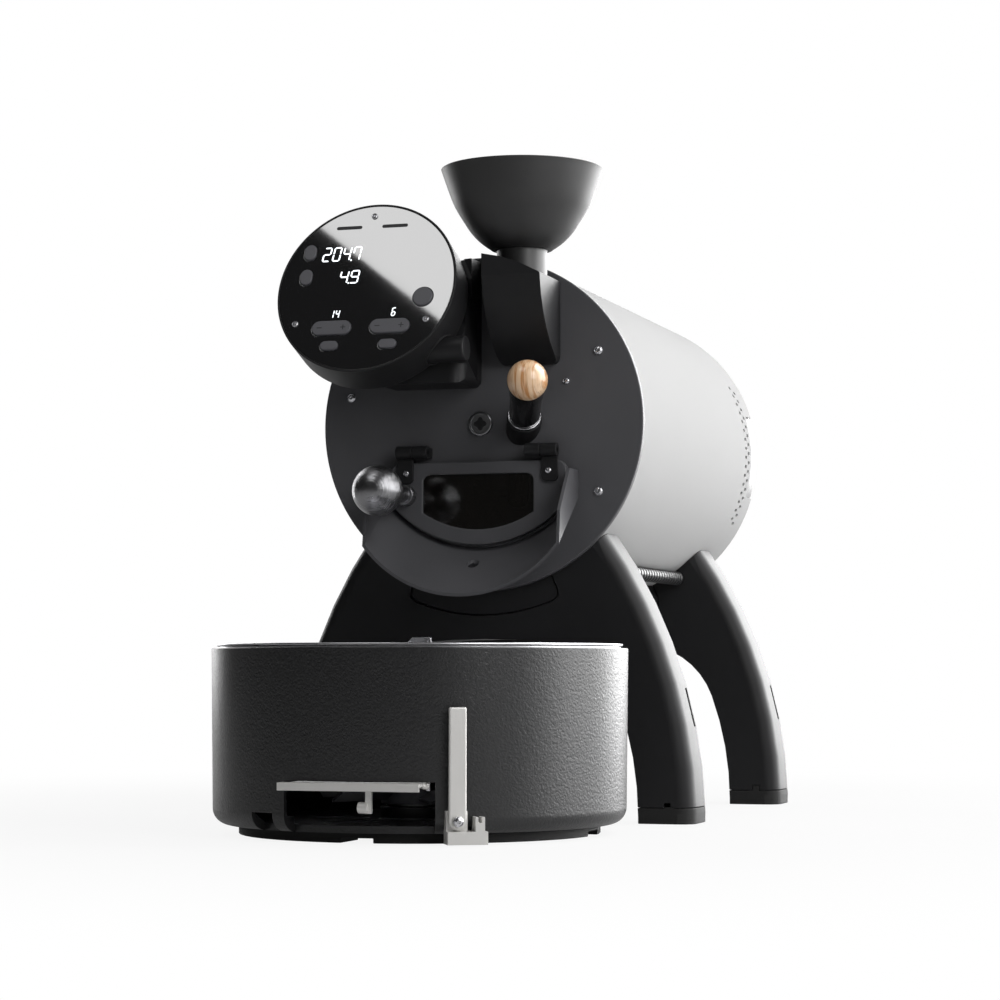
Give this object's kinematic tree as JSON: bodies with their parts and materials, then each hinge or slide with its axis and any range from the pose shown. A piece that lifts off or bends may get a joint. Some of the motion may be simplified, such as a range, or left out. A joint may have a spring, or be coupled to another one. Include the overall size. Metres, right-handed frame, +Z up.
{
  "type": "commercial coffee roaster",
  "caption": "Counter-top drum coffee roaster with bean hopper, sampling trier, tilting round control display and a separate round cooling tray with stirrer and exit flap.",
  "frame": {"origin": "middle of the footprint's bounding box, on the surface that the roaster stands on", "axes": "+X to the right seen from the front, +Y from the cooling tray to the chaff collector, +Z up"},
  "size_m": [0.3458, 0.8186, 0.519],
  "materials": {
    "black_coat": "black fine-texture powder coat, satin",
    "hopper_black": "matt black coat on spun metal",
    "gloss_black": "glossy black lacquer over turned metal",
    "white_coat": "white satin powder coat",
    "wrinkle_coat": "black wrinkle-finish powder coat",
    "pale_coat": "pale satin metal, lightly textured",
    "brushed_steel": "brushed stainless steel",
    "dark_steel": "dull dark steel",
    "rubber": "black rubber, matt",
    "black_plastic": "black moulded plastic, satin",
    "grey_plastic": "dark grey silicone keys, matt",
    "display_window": "smoked black window, high gloss",
    "door_window": "clear heat-proof glass",
    "turned_wood": "turned light wood, oiled",
    "mineral_wool": "pressed mineral wool",
    "circuit_green": "green circuit board laminate"
  },
  "bodies": {
    "frame": {"front_plate": "black_coat", "outer_shell": "white_coat", "rear_cover": "black_plastic", "mains_inlet": "black_plastic", "insulation_jacket": "mineral_wool", "heater_ring": "dark_steel", "rear_bulkhead": "dark_steel", "rear_bearing": "brushed_steel", "drive_belt": "rubber", "drum_motor": "dark_steel", "belly_duct": "black_coat", "control_board": "circuit_green", "cable_loom": "black_plastic", "front_leg": "black_coat", "rear_leg": "black_coat", "front_left_foot": "rubber", "front_right_foot": "rubber", "rear_left_foot": "rubber", "rear_right_foot": "rubber", "inlet_chute": "black_coat", "arm_bracket": "black_coat", "trier_collar": "black_coat", "sensor_bezel": "brushed_steel", "left_hinge_knuckle": "black_coat", "right_hinge_knuckle": "black_coat", "bean_chute": "black_coat"},
    "drum": {"drum": "brushed_steel", "drum_shaft": "brushed_steel", "drum_pulley": "dark_steel"},
    "motor_shaft": {"motor_pulley": "brushed_steel"},
    "exhaust_fan": {"exhaust_fan": "grey_plastic"},
    "chaff_collector": {"chaff_collector": "brushed_steel"},
    "hopper": {"hopper_bowl": "hopper_black"},
    "display": {"display_can": "black_coat", "display_glass": "display_window", "display_board": "circuit_green", "display_arm": "black_coat"},
    "start_button": {"start_button": "grey_plastic"},
    "upper_side_button": {"upper_side_button": "grey_plastic"},
    "lower_side_button": {"lower_side_button": "grey_plastic"},
    "left_rocker": {"left_rocker": "grey_plastic"},
    "right_rocker": {"right_rocker": "grey_plastic"},
    "left_small_button": {"left_small_button": "grey_plastic"},
    "right_small_button": {"right_small_button": "grey_plastic"},
    "trier": {"trier_tube": "gloss_black", "trier_handle": "turned_wood"},
    "door": {"door_frame": "black_coat", "door_glass": "door_window", "door_knob": "brushed_steel", "left_hinge_leaf": "black_coat", "right_hinge_leaf": "black_coat"},
    "cooling_tray": {"tray_body": "wrinkle_coat", "tray_base": "rubber", "tray_liner": "brushed_steel", "stirrer_motor": "dark_steel", "lever_bracket": "pale_coat"},
    "stirrer": {"stirrer": "brushed_steel"},
    "cooling_fan": {"cooling_fan": "grey_plastic"},
    "exit_lever": {"exit_lever": "pale_coat"},
    "exit_flap": {"exit_flap": "pale_coat"}
  },
  "joints": [
    {"name": "drum_spin", "type": "hinge", "parent": "frame", "child": "drum", "pos_m": [0, 0, 0.319], "axis": [0, 1, 0], "continuous": true},
    {"name": "motor_spin", "type": "hinge", "parent": "frame", "child": "motor_shaft", "pos_m": [-0.062, 0, 0.261], "axis": [0, 1, 0], "continuous": true},
    {"name": "exhaust_fan_spin", "type": "hinge", "parent": "frame", "child": "exhaust_fan", "pos_m": [0, 0.2827, 0.384], "axis": [0, 1, 0], "continuous": true},
    {"name": "chaff_collector_pull", "type": "slide", "parent": "frame", "child": "chaff_collector", "axis": [0, 1, 0], "range_m": [0, 0.08]},
    {"name": "hopper_lift", "type": "slide", "parent": "frame", "child": "hopper", "axis": [0, 0, 1], "range_m": [0, 0.05]},
    {"name": "display_tilt", "type": "hinge", "parent": "frame", "child": "display", "pos_m": [0, -0.1603, 0.373], "axis": [1, 0, 0], "range_deg": [0, 15]},
    {"name": "start_button_press", "type": "slide", "parent": "display", "child": "start_button", "axis": [0, 0.9367, -0.3502], "range_m": [0, 0.0008], "stiffness_N_per_m": 700, "springref_m": -0.0005},
    {"name": "upper_side_button_press", "type": "slide", "parent": "display", "child": "upper_side_button", "axis": [0, 0.9367, -0.3502], "range_m": [0, 0.0008], "stiffness_N_per_m": 700, "springref_m": -0.0005},
    {"name": "lower_side_button_press", "type": "slide", "parent": "display", "child": "lower_side_button", "axis": [0, 0.9367, -0.3502], "range_m": [0, 0.0008], "stiffness_N_per_m": 700, "springref_m": -0.0005},
    {"name": "left_rocker_tilt", "type": "hinge", "parent": "display", "child": "left_rocker", "pos_m": [-0.0979, -0.18084, 0.39077], "axis": [0, 0.3502, 0.9367], "range_deg": [-3, 3], "stiffness_Nm_per_rad": 0.2},
    {"name": "right_rocker_tilt", "type": "hinge", "parent": "display", "child": "right_rocker", "pos_m": [-0.0491, -0.18084, 0.39077], "axis": [0, 0.3502, 0.9367], "range_deg": [-3, 3], "stiffness_Nm_per_rad": 0.2},
    {"name": "left_small_button_press", "type": "slide", "parent": "display", "child": "left_small_button", "axis": [0, 0.9367, -0.3502], "range_m": [0, 0.0008], "stiffness_N_per_m": 700, "springref_m": -0.0005},
    {"name": "right_small_button_press", "type": "slide", "parent": "display", "child": "right_small_button", "axis": [0, 0.9367, -0.3502], "range_m": [0, 0.0008], "stiffness_N_per_m": 700, "springref_m": -0.0005},
    {"name": "trier_slide", "type": "slide", "parent": "frame", "child": "trier", "axis": [0.3061, -0.8483, 0.4321], "range_m": [0, 0.11]},
    {"name": "door_swing", "type": "hinge", "parent": "frame", "child": "door", "pos_m": [0, -0.1113, 0.296], "axis": [-1, 0, 0], "range_deg": [0, 45]},
    {"name": "tray_slide", "type": "slide", "parent": "frame", "child": "cooling_tray", "axis": [0, -1, 0], "range_m": [0, 0.15]},
    {"name": "stirrer_spin", "type": "hinge", "parent": "cooling_tray", "child": "stirrer", "pos_m": [0, -0.2463, 0.05], "axis": [0, 0, 1], "continuous": true},
    {"name": "cooling_fan_spin", "type": "hinge", "parent": "cooling_tray", "child": "cooling_fan", "pos_m": [0, -0.2463, 0.029], "axis": [0, 0, 1], "continuous": true},
    {"name": "exit_lever_tilt", "type": "hinge", "parent": "cooling_tray", "child": "exit_lever", "pos_m": [0.0742, -0.3835, 0.017], "axis": [-0.4756, 0.8796, 0], "range_deg": [0, 40]},
    {"name": "exit_flap_swing", "type": "hinge", "parent": "cooling_tray", "child": "exit_flap", "pos_m": [0, -0.3753, 0.0407], "axis": [1, 0, 0], "range_deg": [0, 24]}
  ],
  "couplings": [
    {"joint": "motor_spin", "follows": "drum_spin", "ratio": 3.5},
    {"joint": "exit_flap_swing", "follows": "exit_lever_tilt", "ratio": 0.6}
  ]
}
